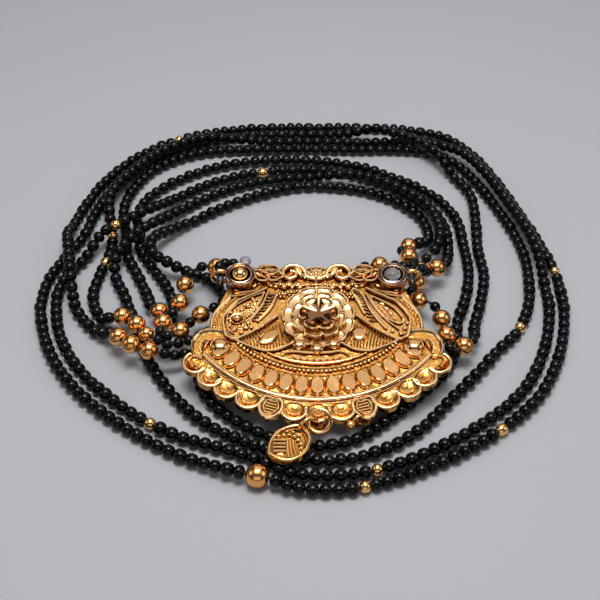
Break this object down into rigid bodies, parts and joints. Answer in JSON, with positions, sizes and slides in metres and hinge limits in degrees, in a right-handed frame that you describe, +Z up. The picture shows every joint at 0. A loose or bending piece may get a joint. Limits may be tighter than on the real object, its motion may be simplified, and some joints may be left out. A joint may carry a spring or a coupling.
{
  "type": "mangalsutra necklace",
  "caption": "Necklace of black bead strings and gold balls with a worked half-moon pendant, laid in a coil on a flat surface.",
  "frame": {"origin": "middle of the jewel's bounding box, on the surface that it lies on", "axes": "+Z up from the surface, -Y towards the viewer and the pendant's lobed edge, +X to the viewer's right"},
  "size_m": [0.1009, 0.1061, 0.0114],
  "materials": {
    "gold": "polished",
    "black_beads": "glossy",
    "clear_stone": "faceted",
    "crystal": "faceted"
  },
  "bodies": {
    "root": {"pendant": "gold", "strand_1": "black_beads", "strand_2": "black_beads", "strand_3": "black_beads", "strand_4": "black_beads", "ring_ball": "gold", "ring_stone": "clear_stone", "crystal": "crystal", "jump_ring_a": "gold", "jump_ring_b": "gold", "charm": "gold", "drop_ball": "gold", "lone_ball": "gold", "ball_1_8": "gold", "ball_1_9": "gold", "ball_1_10": "gold", "ball_1_71": "gold", "ball_1_74": "gold", "ball_1_76": "gold", "ball_1_78": "gold", "ball_1_79": "gold", "ball_2_8": "gold", "ball_2_9": "gold", "ball_2_11": "gold", "ball_2_69": "gold", "ball_3_3": "gold", "ball_3_6": "gold", "ball_3_8": "gold", "ball_3_10": "gold", "ball_3_63": "gold", "ball_3_64": "gold", "ball_3_70": "gold", "ball_4_5": "gold", "ball_4_7": "gold", "ball_4_10": "gold", "ball_4_63": "gold", "ball_4_65": "gold"}
  },
  "joints": []
}
